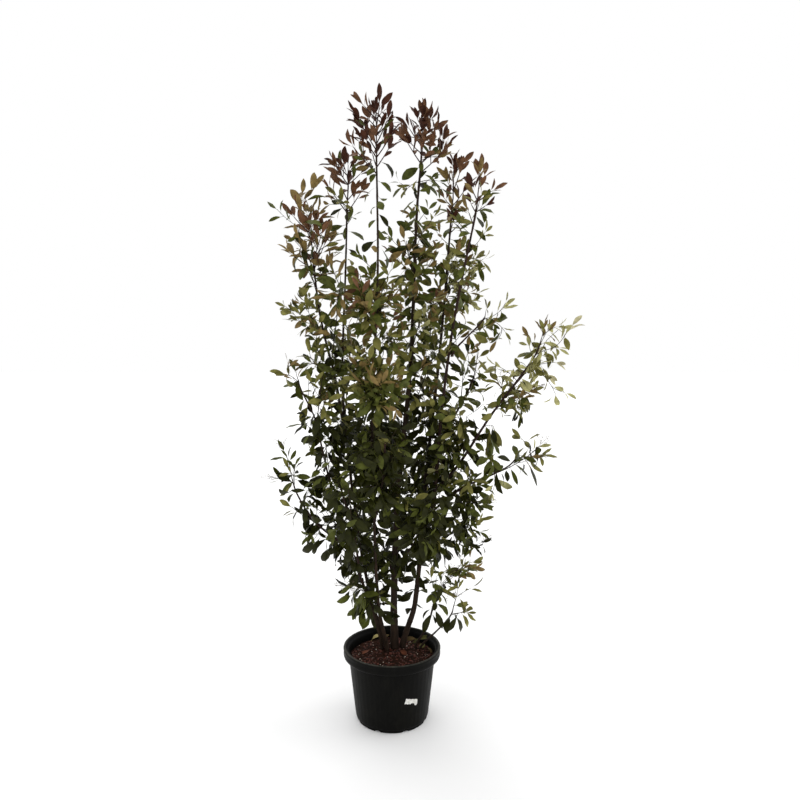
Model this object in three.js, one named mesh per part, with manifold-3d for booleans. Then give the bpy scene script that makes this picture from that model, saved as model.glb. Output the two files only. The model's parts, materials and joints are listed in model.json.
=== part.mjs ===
// A photinia with several stems from one crown, standing in its round nursery pot.
// Millimetres, +Z up. The origin is the middle of the pot's flat underside, and the pot's axis is Z.
import * as THREE from "three";
import { mergeVertices } from "three/addons/utils/BufferGeometryUtils.js";
import Module from "manifold-3d";

const wasm = await Module();
wasm.setup();

// ---------- driving dimensions ----------

const GAP = 0.35; // clearance between pieces that touch
const POT = {
  height: 298,
  rimRadius: 200,
  rimBand: 38, // height of the collar that hangs outside the rim
  lip: 12, // width of the flat top of the rim
  collarWall: 5,
  wall: 3.5,
  shoulderRadius: 178, // body radius just under the collar
  footRadius: 146,
  footHeight: 14,
  footStep: 4,
};
const SOIL = { depth: 36, flatRadius: 120, edgeDrop: 8 }; // depth is measured down from the rim
const SOIL_TOP = POT.height - SOIL.depth;
const FOOT = SOIL_TOP + GAP; // height of the flat cut under every stem
const FLARE = { height: 55, share: 0.35 }; // root flare: extra radius at the foot, fading upwards

// Stems rise from the soil. Each has the points it runs through and its radius at foot and tip.
const STEMS = {
  stem_centre: {
    path: [
      [10, 50, FOOT], [8, 42, 560], [30, 50, 980],
      [75, 62, 1430], [100, 50, 2060], [118, 42, 2270],
    ],
    radius: [15, 4.2],
  },
  stem_right: {
    path: [
      [38, 56, FOOT], [82, 48, 370], [110, 62, 570],
      [145, 100, 1010], [200, 140, 1500], [252, 160, 2130],
    ],
    radius: [11, 3.6],
  },
  stem_front: {
    path: [
      [-17, 28, FOOT], [-55, -20, 460], [-66, -70, 740],
      [-75, -120, 1205], [-50, -140, 1800], [-55, -132, 2240],
    ],
    radius: [7, 3.4],
  },
  stem_left: {
    path: [
      [-20, 58, FOOT], [-90, 62, 465], [-160, 80, 885],
      [-205, 90, 1325], [-190, 100, 1835], [-182, 100, 2110],
    ],
    radius: [7, 3.4],
  },
  shoot_left: {
    path: [
      [-38, 42, FOOT], [-78, -20, 455], [-195, -80, 800],
      [-260, -100, 1080], [-318, -108, 1330], [-368, -118, 1400],
    ],
    radius: [6, 2.5],
  },
  shoot_back: {
    path: [[8, 84, FOOT], [5, 150, 480], [10, 215, 800], [-30, 250, 1180]],
    radius: [7, 3],
  },
  shoot_right: {
    path: [[88, 60, FOOT], [145, 0, 370], [180, -38, 540]],
    radius: [4.5, 3],
  },
  shoot_low_right: {
    path: [[102, 38, FOOT], [200, -10, 375], [258, -34, 455]],
    radius: [4, 2.5],
  },
};

// Boughs leave a stem or an earlier bough at a share of its length, and end inside a mass of foliage.
// The path holds the points that a bough runs through after that.
const BOUGHS = {
  bough_far_left: {
    from: ["stem_left", 0.47],
    path: [[-232, 30, 1410], [-280, -20, 1625], [-308, -50, 1900]],
    radius: [6, 3],
  },
  bough_far_right: {
    from: ["stem_right", 0.2],
    path: [[165, 30, 835], [200, 0, 1255], [245, -40, 1625], [330, -60, 2060]],
    radius: [7.5, 3.6],
  },
  bough_low_left: {
    from: ["shoot_left", 0.42],
    path: [[-280, -92, 810], [-350, -92, 905], [-392, -98, 1000]],
    radius: [4.5, 2.5],
  },
  bough_long_right: {
    from: ["stem_right", 0.33],
    path: [[260, 40, 1020], [400, -30, 1260], [520, -60, 1425], [590, -74, 1540]],
    radius: [6.5, 3],
  },
  bough_right: {
    from: ["stem_right", 0.42],
    path: [[270, 128, 1245], [352, 140, 1400]],
    radius: [5, 3],
  },
  bough_twig_right: {
    from: ["bough_far_right", 0.6],
    path: [[330, 25, 1590], [400, 75, 1650]],
    radius: [3.5, 2.5],
  },
  bough_side_right: {
    from: ["stem_right", 0.29],
    path: [[300, 10, 965], [400, -58, 1010], [520, -78, 1095]],
    radius: [5, 2.5],
  },
  bough_front: {
    from: ["stem_front", 0.3],
    path: [[-40, -190, 960], [-20, -250, 1180]],
    radius: [5.5, 3],
  },
  bough_front_right: {
    from: ["stem_centre", 0.17],
    path: [[80, -60, 720], [122, -140, 850]],
    radius: [5, 3],
  },
  bough_front_left: {
    from: ["shoot_left", 0.3],
    path: [[-150, -170, 850], [-190, -260, 1010]],
    radius: [4.5, 3],
  },
  bough_back_right: {
    from: ["shoot_back", 0.45],
    path: [[90, 270, 880], [160, 330, 1060]],
    radius: [4.5, 3],
  },
  bough_back_left: {
    from: ["shoot_back", 0.3],
    path: [[-70, 250, 720], [-150, 300, 900]],
    radius: [4.5, 3],
  },
};

// Masses of foliage: the middle of each, its half sizes along X, Y and Z, and its lean in degrees,
// which tips its head towards +X.
const MASSES = {
  spray_left: { centre: [-318, -50, 1945], half: [132, 120, 225], lean: -8 },
  spray_centre_left: { centre: [-202, 100, 2200], half: [135, 120, 160] },
  spray_centre: { centre: [-82, -130, 2320], half: [130, 125, 175] },
  spray_centre_right: { centre: [150, 40, 2345], half: [140, 125, 180] },
  spray_right: { centre: [262, 165, 2165], half: [92, 105, 190] },
  spray_far_right: { centre: [348, -60, 2110], half: [75, 95, 190], lean: 6 },
  upper_left: { centre: [-330, -62, 1650], half: [125, 120, 125] },
  upper_centre: { centre: [-70, -135, 1690], half: [130, 120, 155] },
  upper_centre_right: { centre: [118, 55, 1905], half: [105, 110, 185] },
  upper_right: { centre: [305, 85, 1815], half: [120, 125, 170] },
  mid_left_tip: { centre: [-388, -124, 1430], half: [68, 62, 82] },
  mid_left: { centre: [-240, -60, 1385], half: [115, 130, 150] },
  mid_back_left: { centre: [-140, 160, 1450], half: [135, 140, 185] },
  mid_front: { centre: [-45, -190, 1390], half: [140, 130, 145] },
  mid_right: { centre: [150, 60, 1560], half: [120, 145, 180] },
  mid_far_right: { centre: [350, 120, 1460], half: [110, 105, 150] },
  mid_back_right: { centre: [160, 195, 1300], half: [125, 125, 155] },
  twig_right: { centre: [432, 92, 1665], half: [76, 62, 70] },
  centre_left: { centre: [-235, -85, 1090], half: [120, 140, 160] },
  centre_back: { centre: [-40, 255, 1090], half: [155, 135, 180] },
  centre_front: { centre: [-30, -215, 1100], half: [155, 145, 160] },
  centre_right: { centre: [215, 40, 1160], half: [145, 150, 180] },
  left_tip: { centre: [-412, -98, 1050], half: [85, 78, 125] },
  back_right: { centre: [190, 285, 980], half: [115, 110, 160] },
  back_left: { centre: [-180, 300, 840], half: [120, 110, 150] },
  front_left: { centre: [-185, -270, 930], half: [115, 105, 150] },
  front_right: { centre: [130, -160, 870], half: [130, 125, 150] },
  low_left: { centre: [-285, -85, 800], half: [110, 100, 105] },
  low_centre_left: { centre: [-135, 45, 720], half: [120, 125, 135] },
  low_centre_right: { centre: [80, 75, 770], half: [105, 120, 165] },
  low_right: { centre: [290, -10, 815], half: [122, 115, 185] },
  skirt_left: { centre: [-115, -60, 530], half: [120, 90, 110] },
  skirt_right: { centre: [190, -50, 580], half: [90, 85, 110] },
  skirt_low_right: { centre: [290, -45, 510], half: [85, 75, 125] },
  bough_tip_right: { centre: [622, -76, 1490], half: [95, 100, 190], lean: 10 },
  bough_mid_right: { centre: [480, -25, 1345], half: [115, 95, 115], lean: 30 },
  side_right: { centre: [420, -64, 1030], half: [105, 90, 120] },
  side_tip_right: { centre: [555, -82, 1112], half: [58, 52, 70] },
};

// ---------- materials ----------

const plain = (color, roughness) => new THREE.MeshStandardMaterial({ color, roughness, metalness: 0 });
const blackPlastic = () => plain(0x1d1c18, 0.45);
const soil = () => plain(0x3a2a1e, 0.95);
const bark = () => plain(0x4a3a2e, 0.85);
const youngLeaves = () => plain(0x6f4a3a, 0.5);
const bronzeLeaves = () => plain(0x6a6440, 0.5);
const greenLeaves = () => plain(0x3c4a26, 0.5);
const RED_ABOVE = 2000; // foliage centred above this height is young and red
const GREEN_BELOW = 1350; // and below this height it is mature and green

// ---------- solids ----------

function solidOf(geometry) {
  const bare = geometry.clone();
  bare.deleteAttribute("normal");
  bare.deleteAttribute("uv");
  const merged = mergeVertices(bare, 1e-3);
  return new wasm.Manifold(
    new wasm.Mesh({
      numProp: 3,
      vertProperties: merged.getAttribute("position").array,
      triVerts: new Uint32Array(merged.index.array),
    }),
  );
}

function geometryOf(solid) {
  const { vertProperties, triVerts } = solid.getMesh();
  const geometry = new THREE.BufferGeometry();
  geometry.setAttribute("position", new THREE.BufferAttribute(vertProperties, 3));
  geometry.setIndex(new THREE.BufferAttribute(triVerts, 1));
  geometry.computeVertexNormals();
  return geometry;
}

const boxOf = (geometry) => {
  geometry.computeBoundingBox();
  return geometry.boundingBox;
};

// Cuts a geometry by each tool that reaches it, and keeps the largest body that is left.
function cutBy(geometry, tools) {
  const near = tools.filter((tool) => boxOf(tool).intersectsBox(boxOf(geometry)));
  if (near.length === 0) {
    return geometry;
  }
  const cut = near.reduce((solid, tool) => solid.subtract(solidOf(tool)), solidOf(geometry));
  const bodies = cut.decompose();
  bodies.sort((a, b) => b.volume() - a.volume());
  return geometryOf(bodies[0]);
}

// ---------- pot and root ball ----------

const POT_SEGMENTS = 32;
// Radians that turned solids are turned by, so that none of their facet edges lies on the X or Y axis.
const FACET_TURN = 0.05;
const COLLAR_FOOT = POT.height - POT.rimBand;

// A solid of revolution about Z from its [radius, height] outline, listed from the bottom out and up.
function turned(outline) {
  const points = outline.map(([radius, height]) => new THREE.Vector2(radius, height));
  return new THREE.LatheGeometry(points, POT_SEGMENTS).rotateX(Math.PI / 2).rotateZ(FACET_TURN);
}

function bodyRadius(height) {
  const share = (height - POT.footHeight) / (COLLAR_FOOT - POT.footHeight);
  return THREE.MathUtils.lerp(POT.footRadius + POT.footStep, POT.shoulderRadius, share);
}

function potGeometry() {
  const chamfer = 4;
  const collarInner = POT.rimRadius - POT.collarWall;
  const underLip = POT.height - chamfer;
  const lipInner = POT.rimRadius - POT.lip;
  const shoulder = POT.height - 3 * chamfer;
  return turned([
    [0, 0],
    [POT.footRadius - chamfer, 0],
    [POT.footRadius, chamfer],
    [POT.footRadius, POT.footHeight - chamfer],
    [bodyRadius(POT.footHeight), POT.footHeight],
    [bodyRadius(underLip), underLip - chamfer],
    [collarInner, underLip - chamfer],
    [collarInner - 2, COLLAR_FOOT],
    [POT.rimRadius - 4, COLLAR_FOOT],
    [POT.rimRadius, COLLAR_FOOT + 2 * chamfer],
    [POT.rimRadius, POT.height - chamfer],
    [POT.rimRadius - chamfer, POT.height],
    [lipInner + chamfer, POT.height],
    [lipInner, POT.height - chamfer],
    [bodyRadius(shoulder) - POT.wall, shoulder],
    [bodyRadius(POT.footHeight) - POT.wall, POT.footHeight],
    [bodyRadius(POT.footHeight) - 2 * POT.wall, POT.wall],
    [0, POT.wall],
  ]);
}

function rootBallGeometry() {
  const inset = POT.wall + GAP;
  const edge = SOIL_TOP - SOIL.edgeDrop;
  return turned([
    [0, POT.wall + GAP],
    [bodyRadius(POT.footHeight) - 2 * POT.wall - 2 * GAP, POT.wall + GAP],
    [bodyRadius(POT.footHeight) - inset - GAP, POT.footHeight],
    [bodyRadius(edge) - inset, edge],
    [SOIL.flatRadius, SOIL_TOP],
    [0, SOIL_TOP],
  ]);
}

// ---------- stems and boughs ----------

const vectors = (points) => points.map((point) => new THREE.Vector3(...point));

const UP = new THREE.Vector3(0, 0, 1);

// The cross sections of a limb: its middle, the way it runs, and two directions across it.
// A stem's first section lies level.
function sectionsOf({ curve, steps, levelFoot }) {
  const { tangents, normals } = curve.computeFrenetFrames(steps, false);
  if (levelFoot) {
    tangents[0].copy(UP);
    normals[0].setZ(0).normalize();
  }
  return tangents.map((along, step) => ({
    along,
    across: normals[step],
    aside: new THREE.Vector3().crossVectors(normals[step], along),
    middle: curve.getPointAt(step / steps),
  }));
}

// A round limb along a curve, thicker and longer at both ends by the extra.
function limbGeometry(limb, extra) {
  const { steps, sides, radiusAt } = limb;
  const sections = sectionsOf(limb);
  sections[0].middle.addScaledVector(sections[0].along, -extra);
  sections[steps].middle.addScaledVector(sections[steps].along, extra);
  const geometry = new THREE.CylinderGeometry(1, 1, 1, sides, steps);
  const position = geometry.getAttribute("position");
  const vertex = new THREE.Vector3();
  for (let i = 0; i < position.count; i += 1) {
    vertex.fromBufferAttribute(position, i);
    const step = Math.round((vertex.y + 0.5) * steps);
    const { middle, across, aside } = sections[step];
    const radius = radiusAt(step / steps) + extra;
    const place = middle.clone().addScaledVector(across, vertex.x * radius);
    place.addScaledVector(aside, vertex.z * radius);
    position.setXYZ(i, place.x, place.y, place.z);
  }
  return geometry;
}

const STEM_STEP = 180; // length of one section of a stem
const BOUGH_STEP = 110;

function makeLimb(points, [footRadius, tipRadius], isStem) {
  const curve = new THREE.CatmullRomCurve3(vectors(points), false, "centripetal");
  const length = curve.getLength();
  const flare = isStem ? FLARE.share : 0;
  return {
    curve,
    sides: isStem ? 6 : 5,
    steps: Math.max(4, Math.round(length / (isStem ? STEM_STEP : BOUGH_STEP))),
    levelFoot: isStem,
    radiusAt: (share) => {
      const taper = THREE.MathUtils.lerp(footRadius, tipRadius, share ** 0.85);
      return taper * (1 + flare * Math.exp((-share * length) / FLARE.height));
    },
  };
}

function makeLimbs() {
  const limbs = new Map();
  for (const [name, { path, radius }] of Object.entries(STEMS)) {
    limbs.set(name, { ...makeLimb(path, radius, true), parents: [...limbs.keys()] });
  }
  for (const [name, { from, path, radius }] of Object.entries(BOUGHS)) {
    const [parent, share] = from;
    const start = limbs.get(parent).curve.getPointAt(share).toArray();
    limbs.set(name, { ...makeLimb([start, ...path], radius, false), parents: [...limbs.keys()] });
  }
  return limbs;
}

// ---------- masses of foliage ----------

// Numbers between 0 and 1 that are the same in every run.
function seeded(seed) {
  let state = seed;
  return () => {
    state = (state * 1664525 + 1013904223) % 4294967296;
    return state / 4294967296;
  };
}

const LUMPS = 9;
const LUMP_HEIGHT = 0.34;
const LUMP_SHARPNESS = 9;
const HOLLOW_REACH = 0.72; // share of the half size between the lumps
const FAN = 0.12; // how much wider a mass is at its head than at its foot
const CORE = { radius: 300, height: 1750 }; // masses centred inside this cylinder get the coarser mesh

// One closed, uneven solid: a ball with seeded lumps, stretched to the half sizes.
function massGeometry({ centre, half, lean = 0 }, seed, extra) {
  const random = seeded(seed);
  const lumps = Array.from({ length: LUMPS }, () =>
    new THREE.Vector3(random() - 0.5, random() - 0.5, random() - 0.5).normalize(),
  );
  const isCore = Math.hypot(centre[0], centre[1]) < CORE.radius && centre[2] < CORE.height;
  const geometry = new THREE.IcosahedronGeometry(1, isCore ? 1 : 2);
  const position = geometry.getAttribute("position");
  const direction = new THREE.Vector3();
  for (let i = 0; i < position.count; i += 1) {
    direction.fromBufferAttribute(position, i).normalize();
    const bumps = lumps.map((lump) => Math.exp(LUMP_SHARPNESS * (direction.dot(lump) - 1)));
    const reach = HOLLOW_REACH + LUMP_HEIGHT * Math.max(...bumps);
    const width = reach * (1 + FAN * direction.z);
    position.setXYZ(i, direction.x * width, direction.y * width, direction.z * reach);
  }
  geometry.scale(half[0] + extra, half[1] + extra, half[2] + extra);
  geometry.rotateY(THREE.MathUtils.degToRad(lean));
  return geometry.translate(...centre);
}

function foliageMaterial(height) {
  if (height > RED_ABOVE) {
    return youngLeaves();
  }
  return height < GREEN_BELOW ? greenLeaves() : bronzeLeaves();
}

// ---------- the whole plant ----------

const plant = new THREE.Group();

function add(name, geometry, material) {
  const mesh = new THREE.Mesh(geometry, material);
  mesh.name = name;
  plant.add(mesh);
}

add("pot", potGeometry(), blackPlastic());
add("root_ball", rootBallGeometry(), soil());

const limbs = makeLimbs();
const limbTools = new Map([...limbs].map(([name, limb]) => [name, limbGeometry(limb, GAP)]));
for (const [name, limb] of limbs) {
  const parents = limb.parents.map((parent) => limbTools.get(parent));
  add(name, cutBy(limbGeometry(limb, 0), parents), bark());
}

const massTools = [];
Object.entries(MASSES).forEach(([name, mass], index) => {
  const tools = [...limbTools.values(), ...massTools];
  add(name, cutBy(massGeometry(mass, index + 1, 0), tools), foliageMaterial(mass.centre[2]));
  massTools.push(massGeometry(mass, index + 1, 2 * GAP));
});

export default plant;
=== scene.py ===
import functools
import json
import math

import bpy
import numpy as np
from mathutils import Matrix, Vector
from mathutils.bvhtree import BVHTree


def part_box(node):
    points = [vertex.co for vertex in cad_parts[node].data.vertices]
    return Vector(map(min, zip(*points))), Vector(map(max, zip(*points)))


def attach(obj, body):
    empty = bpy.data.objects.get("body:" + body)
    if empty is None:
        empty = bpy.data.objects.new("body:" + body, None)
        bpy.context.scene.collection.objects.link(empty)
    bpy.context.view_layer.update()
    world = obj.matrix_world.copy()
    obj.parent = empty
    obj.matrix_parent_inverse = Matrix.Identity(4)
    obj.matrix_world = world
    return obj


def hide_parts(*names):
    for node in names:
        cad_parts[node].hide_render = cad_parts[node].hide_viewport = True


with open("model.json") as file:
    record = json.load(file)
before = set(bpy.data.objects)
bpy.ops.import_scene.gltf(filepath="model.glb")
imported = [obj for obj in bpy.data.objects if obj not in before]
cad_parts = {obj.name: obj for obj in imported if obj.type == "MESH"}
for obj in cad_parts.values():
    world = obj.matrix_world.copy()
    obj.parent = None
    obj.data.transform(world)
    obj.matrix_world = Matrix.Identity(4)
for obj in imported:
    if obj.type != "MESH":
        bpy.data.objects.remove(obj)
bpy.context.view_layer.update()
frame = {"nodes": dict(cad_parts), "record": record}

MM = 0.001
UP = np.array([0.0, 0.0, 1.0])
SLOT_OF = {part["node"]: part["material_slot"] for part in frame["record"]["subparts"]}
LIMBS = [node for node, slot in SLOT_OF.items() if slot == "bark"]
MASSES = [node for node, slot in SLOT_OF.items() if slot.endswith("_leaves")]
POT_RADIUS, _, POT_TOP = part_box("pot")[1]
FIRST_RUN = 20
rng = np.random.default_rng(FIRST_RUN)


def reseed(number):
    """Starts a fresh run of random numbers, so that each mass and limb grows by its own seed."""
    rng.bit_generator.state = np.random.default_rng(number).bit_generator.state


def any_turn():
    """A random angle, in radians."""
    return rng.uniform(0.0, 6.3)


def heading(turn, climb=0.0):
    """The level direction at an angle from +X, and a climb."""
    return np.array([math.cos(turn), math.sin(turn), climb])


def placed(name, data):
    """A new object in the scene."""
    thing = bpy.data.objects.new(name, data)
    bpy.context.scene.collection.objects.link(thing)
    return thing


# ---------- camera ----------

CAMERA_PLACE = (0.033, -2.722, 1.515)
CAMERA_PITCH = 4.31  # degrees below level
SENSOR_WIDTH = 36.0
FOCAL_SHARE = 0.85  # focal length as a share of the frame's width


def make_camera():
    data = bpy.data.cameras.new("camera")
    data.sensor_width = SENSOR_WIDTH
    data.lens = FOCAL_SHARE * SENSOR_WIDTH
    camera = placed("camera", data)
    camera.location = CAMERA_PLACE
    camera.rotation_euler = (math.radians(90.0 - CAMERA_PITCH), 0.0, 0.0)
    bpy.context.scene.camera = camera


# ---------- materials ----------

# The scale of a noise is in waves to the metre, and a ramp's stops are values of what feeds it.
MIX_SOCKETS = (0, 6, 7)  # a Mix node's share and its two colours
MIX_RESULT = 2


def linear(hex_colour, factor=1.0):
    """Linear RGBA of an sRGB colour written as rrggbb, made darker or lighter by a factor."""
    channels = [int(hex_colour[i : i + 2], 16) / 255.0 for i in (0, 2, 4)]
    values = [c / 12.92 if c <= 0.04045 else ((c + 0.055) / 1.055) ** 2.4 for c in channels]
    return tuple(min(1.0, value * factor) for value in values) + (1.0,)


class Shader:
    """A Principled material, with helpers that add its procedural nodes."""

    def __init__(self, name):
        self.material = bpy.data.materials.new(name)
        self.material.use_nodes = True
        self.tree = self.material.node_tree
        self.principled = self.tree.nodes["Principled BSDF"]
        self.coordinates = self.tree.nodes.new("ShaderNodeTexCoord").outputs["Object"]

    def set(self, **values):
        """Sets even values straight on the shader's own sockets."""
        for socket, value in values.items():
            self.principled.inputs[socket.replace("_", " ")].default_value = value

    def feed(self, socket, source):
        self.tree.links.new(source, self.principled.inputs[socket])

    def node(self, kind, sources, **values):
        """A new node, with the values of its sockets and what flows into others."""
        node = self.tree.nodes.new("ShaderNode" + kind)
        for socket, value in values.items():
            node.inputs[socket.replace("_", " ")].default_value = value
        for socket, source in sources.items():
            self.tree.links.new(source, node.inputs[socket])
        return node

    def noise(self, scale, detail=4.0, roughness=0.55, streak=None):
        """Noise, drawn out along Z where a streak below one is given."""
        vector = self.coordinates
        if streak:
            vector = self.node("Mapping", {"Vector": vector}, Scale=(1.0, 1.0, streak)).outputs["Vector"]
        values = {"Scale": scale, "Detail": detail, "Roughness": roughness}
        return self.node("TexNoise", {"Vector": vector}, **values).outputs["Fac"]

    def ramp(self, value, *stops):
        """Colours by value. A stop is a place on the ramp, a hex colour and, if need be, a factor for it."""
        node = self.node("ValToRGB", {"Fac": value})
        elements = node.color_ramp.elements
        while len(elements) < len(stops):
            elements.new(0.5)
        for element, (position, *colour) in zip(elements, stops):
            element.position = position
            element.color = linear(*colour)
        return node.outputs["Color"]

    def ranged(self, value, low, high, from_low=0.3, from_high=0.7):
        ends = {"From_Min": from_low, "From_Max": from_high, "To_Min": low, "To_Max": high}
        return self.node("MapRange", {"Value": value}, **ends).outputs["Result"]

    def mixed(self, *sources):
        """The second source where the first is low, and the third where it is high."""
        node = self.node("Mix", {})
        node.data_type = "RGBA"
        for socket, source in zip(MIX_SOCKETS, sources):
            self.tree.links.new(source, node.inputs[socket])
        return node.outputs[MIX_RESULT]

    def bump(self, height, distance, strength=1.0):
        node = self.node("Bump", {"Height": height}, Distance=distance, Strength=strength)
        self.feed("Normal", node.outputs["Normal"])


def leaf_material(name, hex_colour, roughness):
    """Glossy leaf: one base colour, lighter and darker from place to place, with a fine grain."""
    shader = Shader(name)
    stops = ((0.3, hex_colour, 0.6), (0.5, hex_colour), (0.72, hex_colour, 1.5))
    shader.feed("Base Color", shader.ramp(shader.noise(38.0), *stops))
    shader.feed("Roughness", shader.ranged(shader.noise(90.0), roughness - 0.08, roughness + 0.12))
    shader.set(Specular_IOR_Level=0.1)
    shader.bump(shader.noise(420.0, 5.0), 0.4 * MM, 0.5)
    return shader.material


def bark_material(name, dark, light, streak):
    """Bark: streaks that run along the limb, with shallow fissures."""
    shader = Shader(name)
    grain = shader.noise(160.0, 6.0, 0.6, streak)
    tint = shader.ramp(shader.noise(22.0), (0.35, dark), (0.65, light))
    shadow = shader.ramp(grain, (0.3, dark, 0.45), (0.62, light))
    shader.feed("Base Color", shader.mixed(shader.ranged(grain, 0.2, 0.7), shadow, tint))
    shader.feed("Roughness", shader.ranged(grain, 0.6, 0.9))
    shader.set(Specular_IOR_Level=0.15)
    shader.bump(grain, 1.2 * MM, 0.8)
    return shader.material


def pot_material():
    """Moulded black plastic, with faint scuffs and dust, and a grey band on the lip that is a painted
    highlight.
    """
    shader = Shader("black_plastic")
    scuffs = shader.noise(60.0, 6.0, 0.7, 0.25)
    dust = shader.ranged(shader.noise(9.0, 5.0, 0.65), 0.0, 0.8, 0.5, 0.75)
    black = shader.ramp(scuffs, (0.35, "080807"), (0.7, "0f0f0d"))
    dusty = shader.ramp(scuffs, (0.35, "0f0e0b"), (0.7, "1a1914"))
    # Painted highlight: the top few millimetres of the lip are lighter grey, where its edge catches the
    # light.
    painted_lip_highlight = shader.ramp(scuffs, (0.3, "1e1e1b"), (0.7, "4a4942"))
    height = shader.node("SeparateXYZ", {"Vector": shader.coordinates}).outputs["Z"]
    lip = shader.ranged(height, 0.0, 1.0, POT_TOP - 3.5 * MM, POT_TOP - 0.5 * MM)
    shader.feed("Base Color", shader.mixed(lip, shader.mixed(dust, black, dusty), painted_lip_highlight))
    shader.feed("Roughness", shader.ranged(scuffs, 0.38, 0.56))
    shader.set(Specular_IOR_Level=0.05)
    shader.bump(shader.noise(900.0, 3.0), 0.15 * MM, 0.5)
    return shader.material


def soil_material():
    """Moist peat and bark: reddish brown, from crumb to crumb."""
    shader = Shader("peat")
    crumbs = shader.node("TexVoronoi", {"Vector": shader.coordinates}, Scale=150.0).outputs["Distance"]
    fine = shader.ramp(crumbs, (0.1, "0d0704"), (0.45, "1d1008"), (0.8, "331c0f"))
    broad = shader.ramp(shader.noise(35.0, 6.0), (0.35, "120a05"), (0.68, "3e1f11"))
    shader.feed("Base Color", shader.mixed(shader.ranged(shader.noise(70.0), 0.1, 0.9), fine, broad))
    shader.set(Roughness=0.95, Specular_IOR_Level=0.1)
    shader.bump(shader.noise(260.0, 6.0, 0.7), 2.5 * MM)
    return shader.material


def mottled_material(name, dark, light, scale, roughness, grain):
    """A plain mottled surface for small things."""
    shader = Shader(name)
    shader.feed("Base Color", shader.ramp(shader.noise(scale), (0.35, dark), (0.68, light)))
    shader.set(Roughness=roughness)
    shader.bump(shader.noise(scale * 4.0), grain)
    return shader.material


# ---------- meshes ----------


def make_piece(name, points, faces, material, smooth=True):
    """A mesh object that rides with the plant."""
    mesh = bpy.data.meshes.new(name)
    mesh.from_pydata(np.asarray(points, float).tolist(), [], [list(face) for face in faces])
    mesh.polygons.foreach_set("use_smooth", [smooth] * len(mesh.polygons))
    mesh.materials.append(material)
    piece = placed(name, mesh)
    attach(piece, "root")
    return piece


class MeshParts:
    """Collects the points and faces of many small shapes into one mesh."""

    def __init__(self):
        self.points = []
        self.faces = []
        self.count = 0

    def add(self, points, faces):
        self.points.append(np.asarray(points, float))
        self.faces.extend((np.asarray(faces) + self.count).tolist())
        self.count += len(points)

    def piece(self, name, material, slot, smooth=True):
        return make_piece(name, np.concatenate(self.points), self.faces, material, smooth)


def unit(vectors):
    vectors = np.asarray(vectors, float)
    return vectors / np.maximum(np.linalg.norm(vectors, axis=-1, keepdims=True), 1e-9)


def directions_of(path):
    return unit(np.gradient(path, axis=0))


def across_of(along):
    """A direction square to the given one."""
    start = np.array([1.0, 0.0, 0.0]) if abs(along[0]) < 0.8 else np.array([0.0, 1.0, 0.0])
    return unit(start - along * (start @ along))


def cross_frames(path):
    """Two directions across a path at each point, carried along it without twist."""
    tangents = directions_of(path)
    across = across_of(tangents[0])
    carried = []
    for tangent in tangents:
        across = unit(across - tangent * (across @ tangent))
        carried.append(across)
    return np.array(carried), np.cross(tangents, carried)


def full_turn(count):
    """Evenly spaced angles of a whole turn."""
    return np.linspace(0.0, 2.0 * np.pi, count, endpoint=False)


@functools.cache
def skin_faces(rings, sides):
    """Quads between stacked rings, and the fans from two last points that close the first and last ring."""
    quads, fans = [], []
    foot, last = rings * sides, (rings - 1) * sides
    for side in range(sides):
        other = (side + 1) % sides
        fans += [(foot, other, side), (foot + 1, last + side, last + other)]
    for low in range(0, last, sides):
        for side in range(sides):
            other = (side + 1) % sides
            quads.append((low + side, low + other, low + other + sides, low + side + sides))
    return quads, fans


def tube(path, radii, sides):
    """A closed round tube. radii has one number for each point of the path, or a row of one for each side."""
    path, radii = np.asarray(path, float), np.asarray(radii, float)
    if radii.ndim == 1:
        radii = np.repeat(radii[:, None], sides, axis=1)
    across, aside = cross_frames(path)
    turn = full_turn(sides)[:, None]
    spokes = across[:, None] * np.cos(turn) + aside[:, None] * np.sin(turn)
    rings = (path[:, None] + spokes * radii[:, :, None]).reshape(-1, 3)
    quads, fans = skin_faces(len(path), sides)
    halves = [half for a, b, c, d in quads for half in ((a, b, c), (a, c, d))]
    return np.concatenate([rings, path[:1], path[-1:]]), halves + fans


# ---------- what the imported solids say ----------

AXIS_STEP = 0.012  # distance between the points of a limb's axis
END_MARGIN = 0.006  # how far from a limb's ends its sections are still whole
WIDTH_ANGLES = 8  # directions in which a section's width is taken
SCATTER_ROUNDS = 60
DRAWS_A_ROUND = 4  # for each point that is wanted
DRAWS_ENOUGH = 5  # points found for each that is wanted


def section(points, edges, height):
    """The points where a solid's edges cross a level plane."""
    start, end = points[edges[:, 0]], points[edges[:, 1]]
    crosses = (start[:, 2] - height) * (end[:, 2] - height) < 0
    start, end = start[crosses], end[crosses]
    share = ((height - start[:, 2]) / (end[:, 2] - start[:, 2]))[:, None]
    return start + share * (end - start)


def smoothed(values, reach=3):
    kernel = np.ones(2 * reach + 1) / (2 * reach + 1)
    padded = np.concatenate([np.repeat(values[:1], reach, 0), values, np.repeat(values[-1:], reach, 0)])
    return np.stack([np.convolve(padded[:, i], kernel, "valid") for i in range(values.shape[1])], 1)


def limb_axis(node):
    """A limb's axis and radius, from level cuts through its solid. Every limb climbs all the way."""
    mesh = frame["nodes"][node].data
    points = np.array([vertex.co[:] for vertex in mesh.vertices])
    edges = np.array([edge.vertices[:] for edge in mesh.edges])
    angles = np.linspace(0.0, np.pi, WIDTH_ANGLES, endpoint=False)
    low, high = points[:, 2].min() + END_MARGIN, points[:, 2].max() - END_MARGIN
    rows = []
    for height in np.arange(low, high, AXIS_STEP):
        cut = section(points, edges, height)
        middle = (cut.min(0) + cut.max(0)) / 2.0
        widths = [np.ptp(cut[:, 0] * math.cos(a) + cut[:, 1] * math.sin(a)) for a in angles]
        rows.append([middle[0], middle[1], height, min(widths) / 2.0])
    rows = np.array(rows)
    rows[:, [0, 1, 3]] = smoothed(rows[:, [0, 1, 3]])
    return rows[:, :3], rows[:, 3]


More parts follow.
